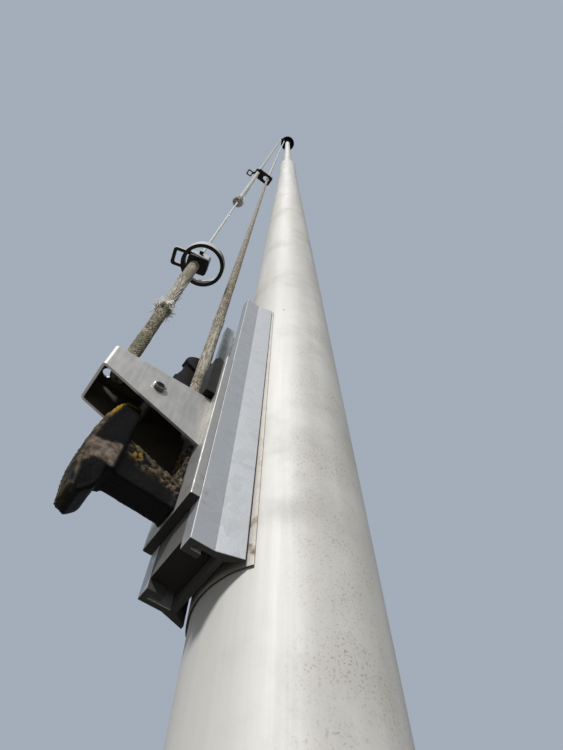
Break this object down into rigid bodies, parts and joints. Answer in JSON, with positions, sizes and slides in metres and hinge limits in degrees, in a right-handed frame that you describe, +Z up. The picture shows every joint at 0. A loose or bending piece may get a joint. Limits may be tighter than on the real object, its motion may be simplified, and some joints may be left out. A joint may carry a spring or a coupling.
{
  "type": "flagpole with outside halyard",
  "caption": "Tapered aluminium flagpole with an outside halyard, plastic hooks, a mounting rail with a cast cleat under a folded hood, and a mushroom cap.",
  "frame": {"origin": "centre of the base plate's underside, on the pole's axis", "axes": "+Z up the pole's axis; -Y out of the face that carries the mounting rail, the cleat and the halyard; X across the rail"},
  "size_m": [0.22, 0.2472, 5.94],
  "materials": {
    "pole_aluminium": "satin, fine vertical streaks",
    "cap_black": "matte",
    "galvanised": "galvanised, spangled",
    "stainless": "satin",
    "cast_metal": "rough cast, weathered",
    "black_plastic": "moulded",
    "rope": "braided, mossy",
    "cord": "thin braid"
  },
  "bodies": {
    "root": {"backing_strip": "galvanised", "base_collar": "pole_aluminium", "base_plate": "pole_aluminium", "cleat": "cast_metal", "front_plate": "galvanised", "halyard_inner_lower": "rope", "halyard_inner_upper": "rope", "halyard_knot": "rope", "halyard_outer_lower": "rope", "halyard_outer_middle": "rope", "halyard_outer_upper": "rope", "halyard_turn": "rope", "hood": "stainless", "hood_pin": "stainless", "inner_end_knot": "rope", "joint_band": "pole_aluminium", "lower_hook": "black_plastic", "mounting_rail": "galvanised", "outer_end_knot": "rope", "pole_lower": "pole_aluminium", "pole_upper": "pole_aluminium", "rope_guide": "black_plastic", "slot_bar": "galvanised", "thin_cord": "cord", "top_tube": "pole_aluminium", "truck_body": "cap_black", "truck_cap": "cap_black", "truck_pin": "stainless", "truck_sheave": "cap_black", "upper_hook": "black_plastic"}
  },
  "joints": []
}
